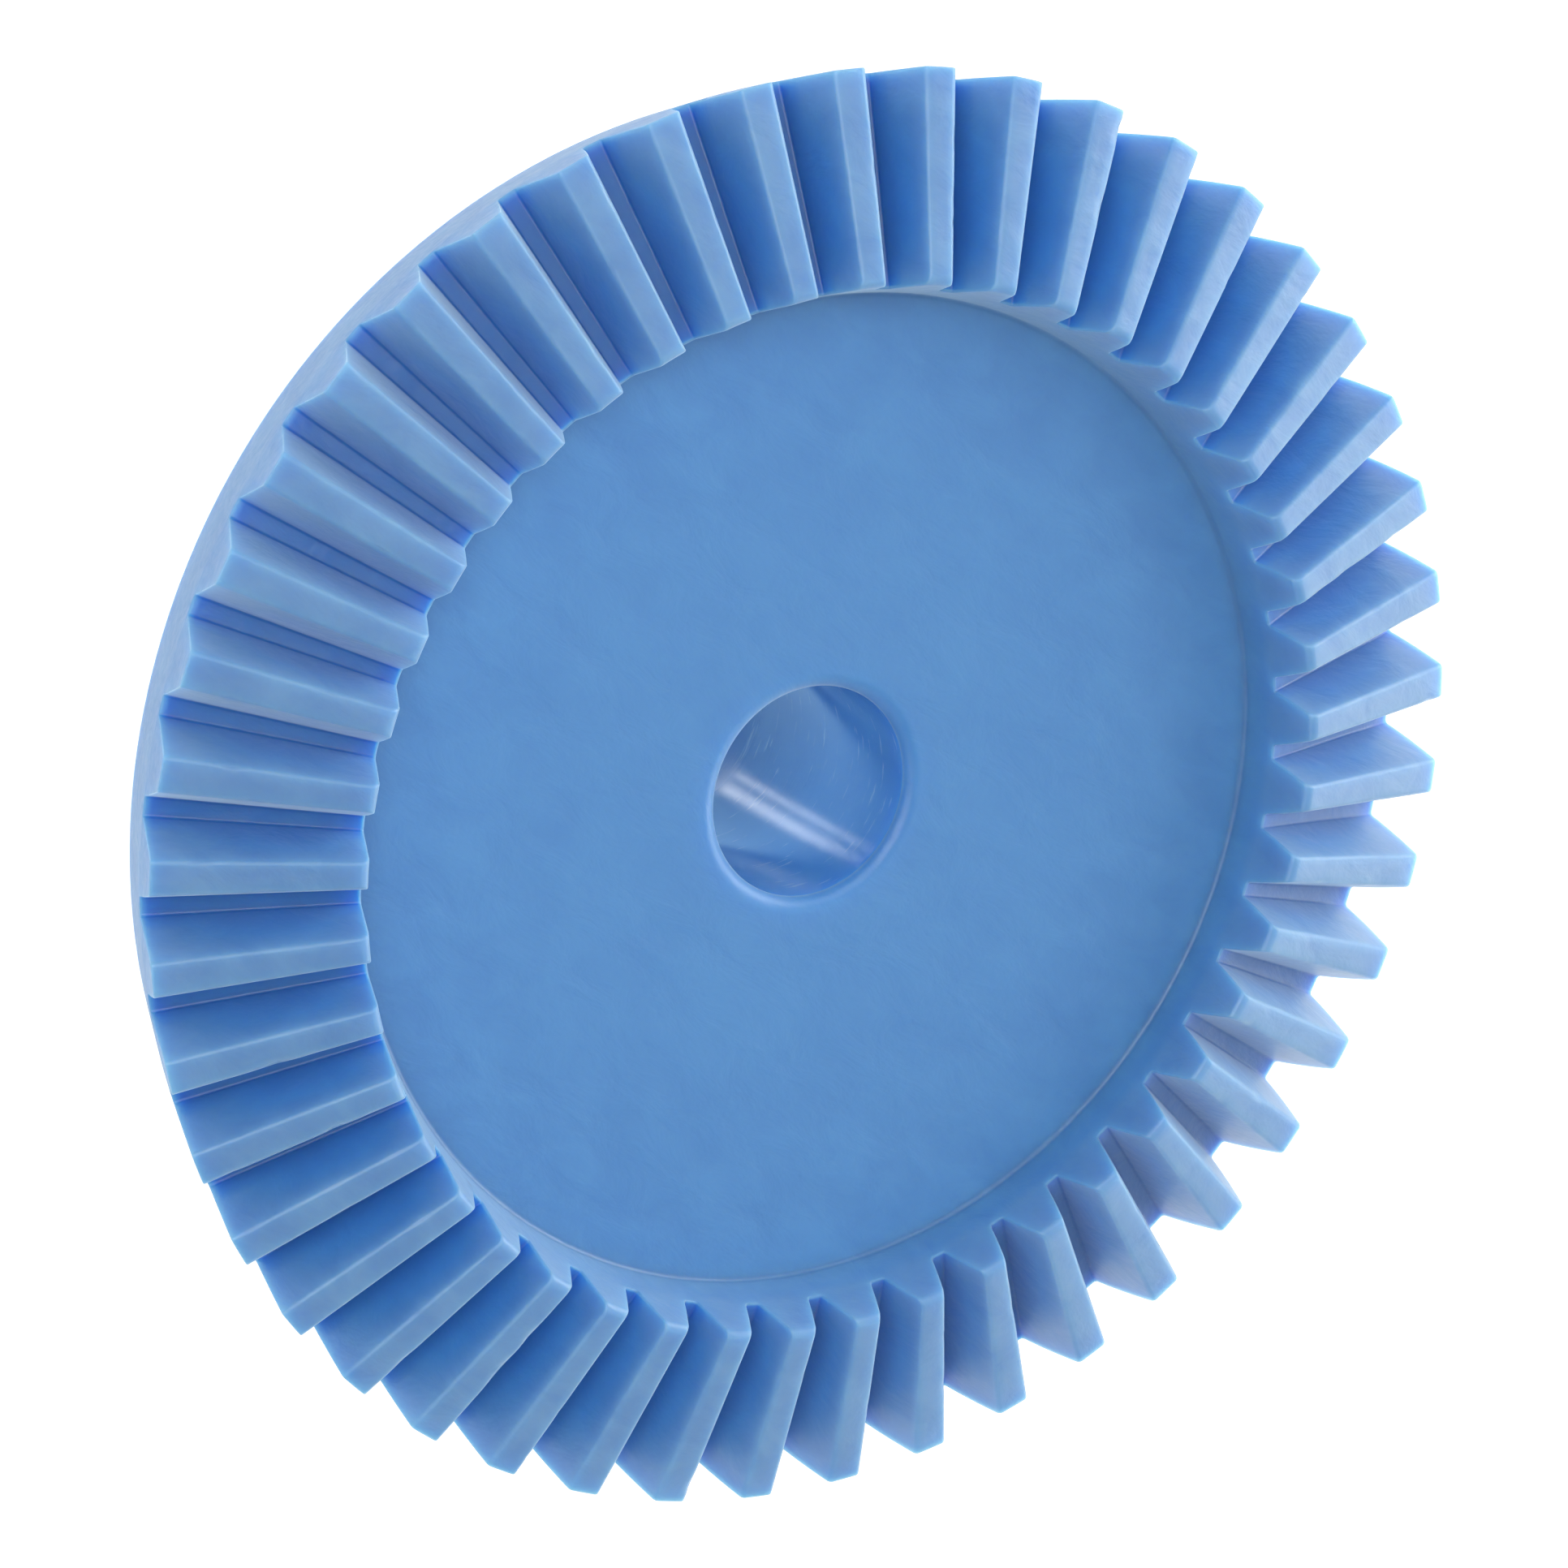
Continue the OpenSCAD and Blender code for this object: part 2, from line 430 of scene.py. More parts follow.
def add_end_face(surface, outline, scale, turn, row, tones):
    """Fills the end of one tooth with rungs, and returns the row at the tooth's foot."""
    middle = SIDE_POINTS - 1
    land = row[middle - LAND_SPLITS:middle + LAND_SPLITS + 1]
    above = land
    for j in range(ARC_START + 1, FILLET_END + 1):
        left, right = outline[middle - j], outline[middle + j]
        inner = left + (right - left) * between(0, 1, 2 * LAND_SPLITS - 1)[:, None]
        added = surface.add(on_cone(inner[:, 0], inner[:, 1], scale, turn), tones[middle + j])
        rung = np.concatenate([[row[middle - j]], added, [row[middle + j]]])
        surface.strip(above, rung, closed=False)
        above = rung
    return np.concatenate([[row[0]], above])


# How pale the plastic is in each place, from 0 to 1 along the nylon's colour ramp. The disc has
# the nylon's own tone; the paler back cone is painted light, the palest bore edge a painted
# highlight
BODY_PALENESS = 0.6
BACK_CONE_PAINTED_LIGHT = 0.85
BORE_EDGE_PAINTED_HIGHLIGHT = 1.0
# Painted light and shade on the teeth. A tooth is painted paler towards its tip as this power of
# the height, for light through its thin tip. It is painted paler near both ends too, by the amount
# below and over these distances, but not on the floor of a gap or just above it, which keeps the
# darkest tone as painted shade
TIP_FALL = 2.0
END_PAINTED_LIGHT = 0.75
HEEL_REACH = 3.0
TOE_REACH = 1.5
FLANK_FOOT = 0.35
# What the body's tone takes for the painted highlight on the sharp edge of the bore, and for the
# painted light on the back cone
BORE_EDGE_DROP = 0.55
BACK_CONE_DROP = 0.3
BACK_CONE_INNER_R = HUB_R + 10


def painted_light_and_shade(height, along):
    """Painted light and shade of a row of a tooth, by each point's share of the tooth's height."""
    to_end = min(along / HEEL_REACH, (FACE_W - along) / TOE_REACH)
    near = END_PAINTED_LIGHT * math.exp(-to_end ** 2)
    if HEEL_EDGE_R < along < FACE_W - TOE_EDGE_R:
        near = near * np.minimum(height / FLANK_FOOT, 1)
    return 1 - (1 - height ** TIP_FALL) * (1 - near)


def row_painted_light_and_shade(rows):
    """Painted light and shade of each point of each row of a tooth."""
    heights = (tooth_side(ADDENDUM)[0][:, 1] + DEDENDUM) / WHOLE_DEPTH
    heights = np.concatenate([heights[::-1], heights[1:]])
    return [painted_light_and_shade(heights, along) for along in rows]


def body_tone_and_painted_light(r, z):
    """The disc keeps the nylon's own tone; the back cone is painted paler as painted light, and the
    sharp front edge of the bore palest, as a painted highlight.
    """
    if abs(r - BORE_R) < 0.01 and z > DISH_Z - BORE_EDGE_DROP:
        return BORE_EDGE_PAINTED_HIGHLIGHT
    if r > BACK_CONE_INNER_R and z < DISH_Z - BACK_CONE_DROP:
        return BACK_CONE_PAINTED_LIGHT
    return BODY_PALENESS


TOOTH_TURN = 2 * math.pi / TEETH


def add_teeth(surface, rows, sections, pale):
    """Adds the points of every tooth, and returns their numbers by tooth and by row."""
    rng = np.random.default_rng(NICK_SEED)
    numbers = []
    for tooth in range(TEETH):
        nicks = tooth_nicks(rng)
        grid = []
        for along, (outline, normals, scale), tones in zip(rows, sections, pale):
            if NICK_FREE_HEEL < along < FACE_W - NICK_FREE_TOE:
                outline = nicked(outline, normals, along, nicks)
            points = on_cone(outline[:-1, 0], outline[:-1, 1], scale, tooth * TOOTH_TURN)
            grid.append(surface.add(points, tones[:-1]))
        numbers.append(grid)
    # Each row ends on the first point of the next tooth
    return [[np.append(row, after[0]) for row, after in zip(grid, numbers[(i + 1) % TEETH])]
            for i, grid in enumerate(numbers)]


def carry_on(surface, foot, outline):
    """Carries the foot of the teeth along an outline of the disc, and returns the last ring."""
    points = np.array([surface.points[n] for n in foot])
    own = np.unwrap(np.arctan2(points[:, 1], points[:, 0]))
    even = own[0] + np.arange(len(own)) * 2 * math.pi / len(own)
    above = foot
    for r, z in outline:
        # The columns even out towards the bore
        t = np.clip((r - BORE_R) / (HUB_R - BORE_R), 0, 1)
        below = surface.add(ring(r, z, own * t + even * (1 - t)), body_tone_and_painted_light(r, z))
        surface.strip(above, below)
        above = below
    return above


def gear_shape():
    """Teeth, end faces, dish, rim, hub and bore as one closed surface."""
    surface = Surface()
    rows = tooth_rows()
    sections = [section(along) for along in rows]
    pale = row_painted_light_and_shade(rows)
    heel_foot, toe_foot = [], []
    for tooth, grid in enumerate(add_teeth(surface, rows, sections, pale)):
        for low, high in zip(grid, grid[1:]):
            surface.strip(low, high, closed=False)
        for foot, i in ((heel_foot, 0), (toe_foot, -1)):
            outline, _, scale = sections[i]
            foot.append(add_end_face(surface, outline, scale, tooth * TOOTH_TURN, grid[i], pale[i]))
    heel_v, toe_v = sections[0][0][0, 1], sections[-1][0][0, 1]
    front = carry_on(surface, np.concatenate(toe_foot), front_outline(toe_v))
    back = carry_on(surface, np.concatenate(heel_foot), back_outline(heel_v))
    surface.strip(front, back)
    return surface


def along_screw(name):
    """Lays a shape that points up Z along a set screw's line."""
    turn = Matrix.Rotation(math.radians(SCREW_TURNS[name]), 4, "Z")
    return turn @ Matrix.Translation((0, 0, SCREW_Z)) @ Matrix.Rotation(math.pi / 2, 4, "Y")


def even_angles(count, offset=0.0):
    """Angles all round, turned by a share of the step between two of them."""
    return (np.arange(count) + offset) * 2 * math.pi / count


def add_rings(surface, above, levels, angles):
    """Carries a ring of points through more radii and heights, and returns the last ring."""
    for r, z in levels:
        below = surface.add(ring(r, z, angles))
        surface.strip(above, below)
        above = below
    return above


def cutter(name):
    """What a set screw's hole takes out: narrow at the bore, and wide where the insert sits."""
    surface = Surface()
    angles = even_angles(CUTTER_POINTS, CUTTER_TURN)
    start, end = BORE_R - CUTTER_SPARE, HUB_R + CUTTER_SPARE
    steps = [(POINT_HOLE_R, INSERT_START), (INSERT_R, INSERT_START), (INSERT_R, end)]
    first = surface.add(ring(POINT_HOLE_R, start, angles))
    last = add_rings(surface, first, steps, angles)
    surface.fan(first, surface.add([(0, 0, start)])[0])
    surface.fan(last, surface.add([(0, 0, end)])[0], flip=True)
    return surface.mesh("cutter_" + name, along_screw(name))


def cut(piece, tools):
    """Cuts the tools out of a piece and removes them."""
    for tool in tools:
        modifier = piece.modifiers.new("cut", "BOOLEAN")
        modifier.operation = "DIFFERENCE"
        modifier.solver = "EXACT"
        modifier.object = tool
    bpy.context.view_layer.update()
    depsgraph = bpy.context.evaluated_depsgraph_get()
    made = bpy.data.meshes.new_from_object(piece.evaluated_get(depsgraph))
    old = piece.data
    piece.modifiers.clear()
    piece.data = made
    made.name = piece.name
    bpy.data.meshes.remove(old)
    for tool in tools:
        bpy.data.objects.remove(tool)


def tidy_cut(piece):
    """Merges the points that a cut doubles, and gives its new points the hub's tone."""
    mesh = bmesh.new()
    mesh.from_mesh(piece.data)
    bmesh.ops.remove_doubles(mesh, verts=mesh.verts, dist=MERGE_DISTANCE * MM)
    bmesh.ops.dissolve_degenerate(mesh, edges=mesh.edges, dist=MERGE_DISTANCE * MM)
    tone = mesh.verts.layers.float["tone_and_painted_light"]
    for vertex in mesh.verts:
        if vertex[tone] == 0.0 and vertex.co.xy.length < (HUB_R + 1) * MM:
            vertex[tone] = BODY_PALENESS
    stop_if_open(mesh, piece.name)
    mesh.to_mesh(piece.data)
    mesh.free()


def smooth(piece, angle=38):
    """Shades a piece smooth, keeps edges sharper than the angle, and evens its flats."""
    mesh = piece.data
    mesh.shade_smooth()
    mesh.set_sharp_from_angle(angle=math.radians(angle))
    weighted = piece.modifiers.new("flats", "WEIGHTED_NORMAL")
    weighted.mode = "FACE_AREA"
    weighted.weight = 80
    weighted.keep_sharp = True


def thread_dip(z, angles, depth):
    """Depth of a rounded V thread below its crest at height z, for a right-hand helix."""
    phase = (z / SCREW_PITCH - angles / (2 * math.pi)) % 1.0
    wave = np.abs(phase * 2 - 1)
    return depth * np.clip((1 - wave) * 1.25 - 0.1, 0, 1)


def screw_radii(z, angles):
    """Radii of a set screw at height z: the thread, the point and the bevelled end."""
    threaded = SCREW_R - thread_dip(z, angles, THREAD_DEPTH)
    rim_r = CUP_R + CUP_RIM_W
    point_r = rim_r + (SCREW_R - rim_r) * min(z / POINT_LEN, 1)
    end_r = SCREW_R - SCREW_BEVEL + min((SCREW_LEN - z) / SCREW_BEVEL, 1) * SCREW_BEVEL
    return np.minimum(threaded, min(point_r, end_r))


def add_socket(surface, mouth, angles):
    """Hexagon socket with a bevelled mouth and a drilled bottom."""
    sixth = math.pi / 3
    hexagon = SOCKET_FLAT_R / np.cos((angles + sixth / 2) % sixth - sixth / 2)
    floor = SCREW_LEN - SOCKET_DEPTH
    levels = [(hexagon * 1.12, SCREW_LEN), (hexagon, SCREW_LEN - SOCKET_BEVEL),
              (hexagon, floor + 0.1), (hexagon * 0.94, floor), (SOCKET_DRILL_R, floor - 0.15)]
    last = add_rings(surface, mouth, levels, angles)
    surface.fan(last, surface.add([(0, 0, floor - 0.4)])[0])


def add_cup(surface, rim, angles):
    """Hollow of a set screw's cup point."""
    levels = [(CUP_R, 0.02), (CUP_R * 0.6, CUP_DEPTH * 0.45), (CUP_R * 0.2, CUP_DEPTH * 0.9)]
    last = add_rings(surface, rim, levels, angles)
    surface.fan(last, surface.add([(0, 0, CUP_DEPTH)])[0], flip=True)


def set_screw_shape():
    """Headless screw: cup point at the start, hexagon socket at the end."""
    surface = Surface()
    angles = even_angles(SCREW_POINTS)
    rows = round(SCREW_LEN / SCREW_PITCH * SCREW_THREAD_ROWS) + 1
    levels = [(screw_radii(z, angles), z) for z in np.linspace(0, SCREW_LEN, rows)]
    first = surface.add(ring(*levels[0], angles))
    last = add_rings(surface, first, levels[1:], angles)
    add_socket(surface, last, angles)
    add_cup(surface, first, angles)
    return surface


def insert_outside(angles):
    """Radii and heights of an insert's outside, from its start to its end."""
    ridge = np.abs((angles / (2 * math.pi) * KNURLS) % 1 * 2 - 1)
    grip = INSERT_R - INSERT_PLAY - KNURL_DEPTH * ridge
    half = [(INSERT_R - INSERT_BEVEL_W, 0.0), (grip, INSERT_BEVEL_LEN), (grip, GRIP_LEN),
            (INSERT_R - GROOVE_DEPTH, GRIP_LEN + GROOVE_SLOPE)]
    return half + [(r, INSERT_LEN - z) for r, z in reversed(half)]


def insert_inside(angles):
    """Radii and heights of an insert's threaded hole, from its end back to its start."""
    rows = round(INSERT_LEN / SCREW_PITCH * INSERT_THREAD_ROWS) + 1
    levels = [(INSERT_MOUTH_R, INSERT_LEN)]
    for z in np.linspace(INSERT_LEN - INSERT_MOUTH_LEN, INSERT_MOUTH_LEN, rows):
        mouth_r = INSERT_HOLE_R + INSERT_THREAD_DEPTH - min(z, INSERT_LEN - z)
        dip = thread_dip(z + INSERT_THREAD_PHASE, angles, INSERT_THREAD_DEPTH)
        levels.append((np.maximum(INSERT_HOLE_R + dip, mouth_r), z))
    return levels + [(INSERT_MOUTH_R, 0.0)]


def insert_shape():
    """Brass insert: two knurled grips, a groove between them and a thread inside."""
    surface = Surface()
    angles = even_angles(INSERT_POINTS)
    levels = insert_outside(angles) + insert_inside(angles)
    rings = [surface.add(ring(r, z, angles)) for r, z in levels]
    for low, high in zip(rings, rings[1:] + rings[:1]):
        surface.strip(low, high)
    return surface


# ---------------------------------------------------------------- materials

# Base colours of the moulded nylon, from the floors of the gaps to the tips: painted shade at the
# dark end, the nylon's own tone in the middle and painted light at the pale end
NYLON_TONES_AND_PAINTED_LIGHT = [(0.0, (0.002, 0.16, 0.54)), (0.4, (0.033, 0.225, 0.57)),
               (BODY_PALENESS, (0.062, 0.245, 0.54)), (1.0, (0.15, 0.31, 0.52))]
CLOUD_TONES = [(0.3, (0.04, 0.16, 0.48)), (0.7, (0.12, 0.36, 0.66))]
MARK_COLOUR = (0.02, 0.14, 0.42)
SPECK_COLOUR = (0.02, 0.08, 0.27)
SHEEN_TINT = (0.78, 0.95, 1.0, 1)
FRONT_SHEEN = 0.6
FRONT_GLOSS = 0.5
BACK_GLOSS = 0.3
REAMED_COLOUR = (0.1, 0.33, 0.69)
SCUFF_COLOUR = (0.32, 0.56, 0.8)


def new_material(name):
    material = bpy.data.materials.new(name)
    material.use_nodes = True
    tree = material.node_tree
    shader = next(n for n in tree.nodes if n.type == "BSDF_PRINCIPLED")
    return material, tree, shader


def node(tree, kind, inputs=None, **settings):
    made = tree.nodes.new(kind)
    for key, value in settings.items():
        setattr(made, key, value)
    for key, value in (inputs or {}).items():
        if isinstance(value, bpy.types.NodeSocket):
            tree.links.new(value, made.inputs[key])
        else:
            made.inputs[key].default_value = value
    return made


def position(tree, scale=(1, 1, 1)):
    """Object coordinates, stretched along each axis."""
    coordinates = node(tree, "ShaderNodeTexCoord")
    return node(tree, "ShaderNodeMapping", {"Vector": coordinates.outputs["Object"],
                                            "Scale": scale}).outputs["Vector"]


def noise(tree, where, scale, detail=3.0, roughness=0.5, distortion=0.0):
    return node(tree, "ShaderNodeTexNoise", {"Vector": where, "Scale": scale,
                                             "Detail": detail, "Roughness": roughness,
                                             "Distortion": distortion}).outputs


def ramp(tree, value, stops):
    made = node(tree, "ShaderNodeValToRGB", {"Fac": value})
    elements = made.color_ramp.elements
    elements.remove(elements[1])
    for i, (place, colour) in enumerate(sorted(stops)):
        element = elements[0] if i == 0 else elements.new(place)
        element.position = place
        element.color = (*colour, 1)
    return made.outputs["Color"]


def mix_colour(tree, amount, a, b):
    made = node(tree, "ShaderNodeMix", data_type="RGBA")
    for socket, value in ((made.inputs[0], amount), (made.inputs[6], a), (made.inputs[7], b)):
        if isinstance(value, bpy.types.NodeSocket):
            tree.links.new(value, socket)
        else:
            socket.default_value = (*value, 1) if isinstance(value, tuple) else value
    return made.outputs[2]


def math_node(tree, operation, a, b):
    return node(tree, "ShaderNodeMath", {0: a, 1: b}, operation=operation).outputs["Value"]


def bump(tree, height, strength, distance, under=None):
    inputs = {"Height": height, "Strength": strength, "Distance": distance}
    if under is not None:
        inputs["Normal"] = under
    return node(tree, "ShaderNodeBump", inputs).outputs["Normal"]


def nylon(name):
    """Start of a translucent nylon, with light cloudy marks that both nylons share."""
    material, tree, shader = new_material(name)
    shader.inputs["Subsurface Weight"].default_value = 1.0
    shader.inputs["Subsurface Radius"].default_value = (0.4, 0.7, 1.0)
    shader.inputs["Subsurface Scale"].default_value = 0.003
    shader.inputs["IOR"].default_value = 1.6
    cloud = noise(tree, position(tree, (1, 1, 2)), 260, 5, 0.55)["Fac"]
    return material, tree, shader, ramp(tree, cloud, CLOUD_TONES)


def specks(tree):
    """A few small dark specks, about one in every square centimetre or two."""
    cells = node(tree, "ShaderNodeTexVoronoi", {"Vector": position(tree), "Scale": 85.0}).outputs
    near = node(tree, "ShaderNodeMapRange", {"Value": cells["Distance"], "From Min": 0.012,
                                             "From Max": 0.032, "To Min": 0.45, "To Max": 0.0})
    chosen = math_node(tree, "GREATER_THAN", cells["Color"], 0.6)
    return math_node(tree, "MULTIPLY", near.outputs["Result"], chosen)


def flow_marks(tree):
    """Height of the flow marks, and how much they darken: more towards the rim."""
    flow = noise(tree, position(tree, (1.5, 0.8, 1)), 380, 4, 0.55, 0.4)["Fac"]
    flat = position(tree, (1, 1, 0))
    radius = node(tree, "ShaderNodeVectorMath", {0: flat}, operation="LENGTH").outputs["Value"]
    reach = node(tree, "ShaderNodeMapRange", {"Value": radius, "From Min": 12 * MM,
                                              "From Max": 21 * MM, "To Min": 0.05,
                                              "To Max": 0.24}).outputs["Result"]
    dark = node(tree, "ShaderNodeMapRange", {"Value": flow, "From Min": 0.62,
                                             "From Max": 0.36}).outputs["Result"]
    return flow, math_node(tree, "MULTIPLY", dark, reach)


def moulded_material(name, sheen, gloss):
    """Satin blue nylon as it leaves the mould, with faint flow marks. Its colour also carries
    painted
    light and shade: paler at the tips, darkest on the floors of the gaps.
    """
    material, tree, shader, clouds = nylon(name)
    shader.inputs["Specular IOR Level"].default_value = gloss
    shader.inputs["Sheen Weight"].default_value = sheen
    shader.inputs["Sheen Roughness"].default_value = 0.5
    shader.inputs["Sheen Tint"].default_value = SHEEN_TINT
    # Each point's own tone or painted light and shade, read from the mesh
    pale = node(tree, "ShaderNodeAttribute", attribute_name="tone_and_painted_light").outputs["Fac"]
    clouded = mix_colour(tree, 0.1, ramp(tree, pale, NYLON_TONES_AND_PAINTED_LIGHT), clouds)
    flow, darker = flow_marks(tree)
    marked = mix_colour(tree, darker, clouded, MARK_COLOUR)
    speckled = mix_colour(tree, specks(tree), marked, SPECK_COLOUR)
    tree.links.new(speckled, shader.inputs["Base Color"])
    grain = noise(tree, position(tree), 2600, 2, 0.5)["Fac"]
    satin = ramp(tree, grain, [(0.3, (0.36,) * 3), (0.7, (0.44,) * 3)])
    tree.links.new(satin, shader.inputs["Roughness"])
    marks = bump(tree, flow, 0.45, 0.0002)
    tree.links.new(bump(tree, grain, 0.06, 0.00004, marks), shader.inputs["Normal"])
    return material


def reamed_material():
    """The same nylon where it is reamed: glossier, with fine rings and a few pale scuffs."""
    material, tree, shader, clouds = nylon("reamed_nylon")
    scuff_noise = noise(tree, position(tree, (3, 3, 26)), 160, 3, 0.6)["Fac"]
    scuffs = node(tree, "ShaderNodeMapRange", {"Value": scuff_noise, "From Min": 0.62,
                                               "From Max": 0.74}).outputs["Result"]
    clouded = mix_colour(tree, 0.12, REAMED_COLOUR, clouds)
    scuffed = mix_colour(tree, scuffs, clouded, SCUFF_COLOUR)
    tree.links.new(scuffed, shader.inputs["Base Color"])
    fine = noise(tree, position(tree, (1, 1, 30)), 300, 4, 0.65)["Fac"]
    reamed = ramp(tree, fine, [(0.3, (0.13,) * 3), (0.7, (0.21,) * 3)])
    # Duller at the back end, which the reamer leaves rough
    height = node(tree, "ShaderNodeSeparateXYZ", {"Vector": position(tree)}).outputs["Z"]
    at_back = node(tree, "ShaderNodeMapRange", {"Value": height, "From Min": 1.5 * MM,
                                                "From Max": 3.8 * MM, "To Min": 1.0,
                                                "To Max": 0.0}).outputs["Result"]
    tree.links.new(mix_colour(tree, at_back, reamed, (0.55,) * 3), shader.inputs["Roughness"])
    tree.links.new(bump(tree, fine, 0.4, 0.00002), shader.inputs["Normal"])
    return material


def brass_material():
    """Turned brass, with a light tarnish."""
    material, tree, shader = new_material("insert_brass")
    where = position(tree)
    tarnish = noise(tree, where, 900, 4)["Fac"]
    colour = ramp(tree, tarnish, [(0.3, (0.42, 0.25, 0.075)), (0.75, (0.68, 0.47, 0.19))])
    tree.links.new(colour, shader.inputs["Base Color"])
    shader.inputs["Metallic"].default_value = 1.0
    rough = ramp(tree, tarnish, [(0.2, (0.36,) * 3), (0.8, (0.24,) * 3)])
    tree.links.new(rough, shader.inputs["Roughness"])
    turned = noise(tree, where, 6000, 2)["Fac"]
    tree.links.new(bump(tree, turned, 0.15, 0.00002), shader.inputs["Normal"])
    return material


def steel_material():
    """Steel with a patchy black oxide."""
    material, tree, shader = new_material("black_oxide_steel")
    where = position(tree)
    patch = noise(tree, where, 1300, 5, 0.6)["Fac"]
    colour = ramp(tree, patch, [(0.35, (0.018, 0.018, 0.02)), (0.8, (0.07, 0.07, 0.075))])
    tree.links.new(colour, shader.inputs["Base Color"])
    shader.inputs["Metallic"].default_value = 0.9
    rough = ramp(tree, patch, [(0.3, (0.42,) * 3), (0.8, (0.28,) * 3)])
    tree.links.new(rough, shader.inputs["Roughness"])
    tree.links.new(bump(tree, patch, 0.1, 0.00003), shader.inputs["Normal"])
    return material


# ---------------------------------------------------------------- pieces

def gear_material(face):
    """Number of the material that a face of the gear has: 0 in front, 1 in the bore, 2 behind."""
    x, y, z = face.center / MM
    r = math.hypot(x, y)
    if r < BORE_R + 0.02:
        return 1
    on_hub = r < HUB_R + HUB_CORNER_R and z < RIM_BACK_Z
    return 2 if face.normal.z < -0.1 or on_hub else 0


def make_gear():
    gear = gear_shape().mesh("gear_body_moulding")
    cut(gear, [cutter(name) for name in SCREW_TURNS])
    tidy_cut(gear)
    smooth(gear)
    gear.data.materials.clear()
    gear.data.materials.append(moulded_material("moulded_nylon", FRONT_SHEEN, FRONT_GLOSS))
    gear.data.materials.append(reamed_material())
    gear.data.materials.append(moulded_material("moulded_nylon_back", 0.0, BACK_GLOSS))
    for face in gear.data.polygons:
        face.material_index = gear_material(face)
    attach(gear, "gear")
    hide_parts("gear_body")


def make_screws(material):
    for name in SCREW_TURNS:
        lay = along_screw(name) @ Matrix.Translation((0, 0, SCREW_START))
        screw = set_screw_shape().mesh("hub_set_screw_" + name, lay)
        smooth(screw, 50)
        screw.data.materials.append(material)
        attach(screw, "screw_" + name)
        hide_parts("set_screw_" + name)


def make_inserts(material):
    for name in SCREW_TURNS:
        lay = along_screw(name) @ Matrix.Translation((0, 0, INSERT_START))
        insert = insert_shape().mesh("hub_insert_" + name, lay)
        smooth(insert, 50)
        insert.data.materials.append(material)
        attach(insert, "gear")
        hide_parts("screw_insert_" + name)


# ---------------------------------------------------------------- stage

FLOOR_R = 4000
FLOOR_HOLE_R = 14
FLOOR_Z = -0.02
FLOOR_GLOW = 0.92

# Where the camera looks from: angles about the gear's axis, and the roll of the picture
VIEW_AZIMUTH = math.radians(-86.94)
VIEW_ELEVATION = math.radians(54.61)
VIEW_ROLL = math.radians(119.73)
VIEW_DISTANCE = 362.61
VIEW_AIM = Vector((0.40, -2.38, CROWN_Z))
VIEW_LENS = 184.17


def direction(azimuth, elevation):
    """Unit vector that points this way, from angles in radians."""
    return Vector((math.cos(azimuth) * math.cos(elevation),
                   math.sin(azimuth) * math.cos(elevation), math.sin(elevation)))


def make_camera():
    back = direction(VIEW_AZIMUTH, VIEW_ELEVATION)
    right = Vector((0, 0, 1)).cross(back).normalized()
    up = back.cross(right)
    turn = Matrix((right, up, back)).transposed().to_4x4()
    turn = turn @ Matrix.Rotation(VIEW_ROLL, 4, "Z")
    data = bpy.data.cameras.new("camera")
    data.lens = VIEW_LENS
    data.sensor_width = 36
    data.clip_start = 0.01
    data.clip_end = 20
    camera = bpy.data.objects.new("camera", data)
    camera.matrix_world = Matrix.Translation((VIEW_AIM + back * VIEW_DISTANCE) * MM) @ turn
    bpy.context.scene.collection.objects.link(camera)
    bpy.context.scene.camera = camera
    bpy.context.view_layer.update()


def make_floor():
    """A large pale disc round the hub, just under it. It can be seen through from below."""
    surface = Surface()
    angles = even_angles(FLOOR_POINTS)
    hole = surface.add(ring(FLOOR_HOLE_R, FLOOR_Z, angles))
    edge = surface.add(ring(FLOOR_R, FLOOR_Z, angles))
    surface.strip(edge, hole)
    floor = surface.mesh("floor", closed=False)
    material, tree, shader = new_material("pale_floor")
    shader.inputs["Base Color"].default_value = (0.35, 0.35, 0.35, 1)
    shader.inputs["Roughness"].default_value = 0.9
    shader.inputs["Emission Color"].default_value = (1, 1, 1, 1)
    shader.inputs["Emission Strength"].default_value = FLOOR_GLOW
    below = node(tree, "ShaderNodeNewGeometry").outputs["Backfacing"]
    clear = node(tree, "ShaderNodeBsdfTransparent").outputs["BSDF"]
    either = node(tree, "ShaderNodeMixShader", {0: below, 1: shader.outputs["BSDF"], 2: clear})
    output = next(n for n in tree.nodes if n.type == "OUTPUT_MATERIAL")
    tree.links.new(either.outputs["Shader"], output.inputs["Surface"])
    floor.data.materials.append(material)


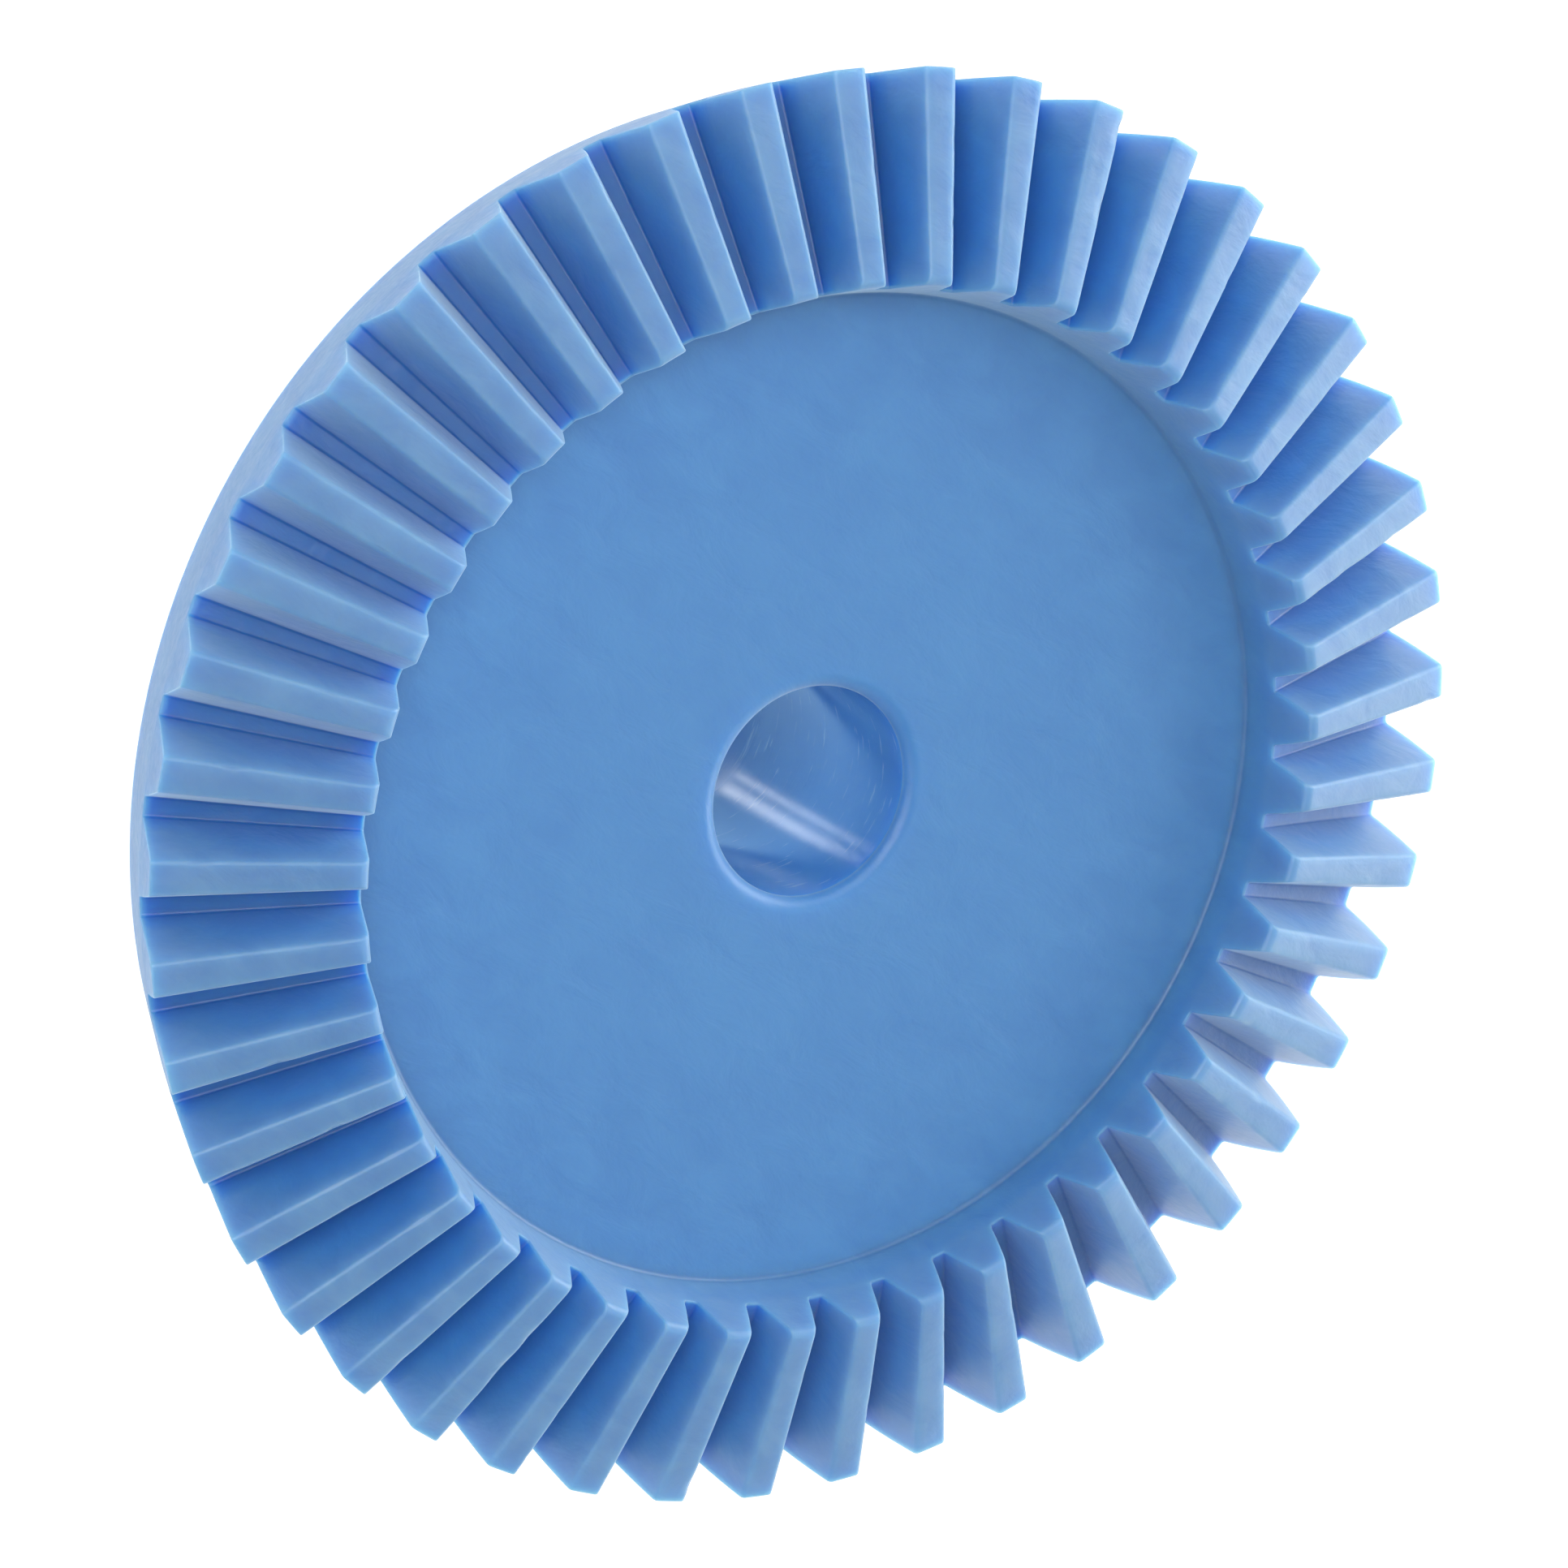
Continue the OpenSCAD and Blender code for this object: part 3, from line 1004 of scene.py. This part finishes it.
# Softboxes: azimuth and elevation about the gear in degrees, width and height in metres, watts.
# Those under the hub shine up the bore through the floor's hole.
SOFTBOXES = {
    "front": (285, 50, 0.5, 0.5, 2.6),
    "front_left_strip": (247, 52, 0.10, 0.45, 0.5),
    "front_right_strip": (263, 52, 0.16, 0.45, 0.6),
    "front_far_left": (335, 40, 0.5, 0.5, 0.9),
    "upper_right": (205, 50, 0.5, 0.5, 1.6),
    "side_near": (150, 20, 0.5, 0.5, 3.6),
    "side_far": (118, 20, 0.5, 0.5, 2.1),
    "across_low": (90, 20, 0.5, 0.5, 0.4),
    "across_high": (93, 72, 0.5, 0.5, 0.8),
    "left_low": (30, 20, 0.5, 0.5, 0.7),
    "under": (90, -85, 1.6, 1.6, 12.0),
    "under_narrow": (250, -54.6, 0.05, 0.3, 0.2),
    "under_wide": (231, -54.6, 0.10, 0.3, 0.4),
}
UNDER_COLOUR = (0.44, 0.76, 1.0)
SOFTBOX_DISTANCE = 0.8


def make_lights():
    target = Vector((0, 0, CROWN_Z)) * MM
    for name, (azimuth, elevation, width, height, power) in SOFTBOXES.items():
        way = direction(math.radians(azimuth), math.radians(elevation))
        data = bpy.data.lights.new(name, "AREA")
        data.shape = "RECTANGLE"
        data.size = width
        data.size_y = height
        data.energy = power
        if name == "under":
            data.color = UNDER_COLOUR
        light = bpy.data.objects.new(name, data)
        light.location = target + way * SOFTBOX_DISTANCE
        light.rotation_euler = way.to_track_quat("Z", "Y").to_euler()
        bpy.context.scene.collection.objects.link(light)


def make_world():
    """White to look at, and weak as a light, so that the softboxes give the shading."""
    world = bpy.data.worlds.new("studio")
    world.use_nodes = True
    tree = world.node_tree
    background = tree.nodes["Background"]
    background.inputs["Color"].default_value = (1, 1, 1, 1)
    seen = node(tree, "ShaderNodeLightPath").outputs["Is Camera Ray"]
    strength = node(tree, "ShaderNodeMapRange", {"Value": seen, "To Min": 0.05, "To Max": 1.0})
    tree.links.new(strength.outputs["Result"], background.inputs["Strength"])
    bpy.context.scene.world = world


scene = bpy.context.scene
scene.view_settings.view_transform = "Standard"
scene.view_settings.look = "None"

make_gear()
make_screws(steel_material())
make_inserts(brass_material())
make_floor()
make_camera()
make_lights()
make_world()
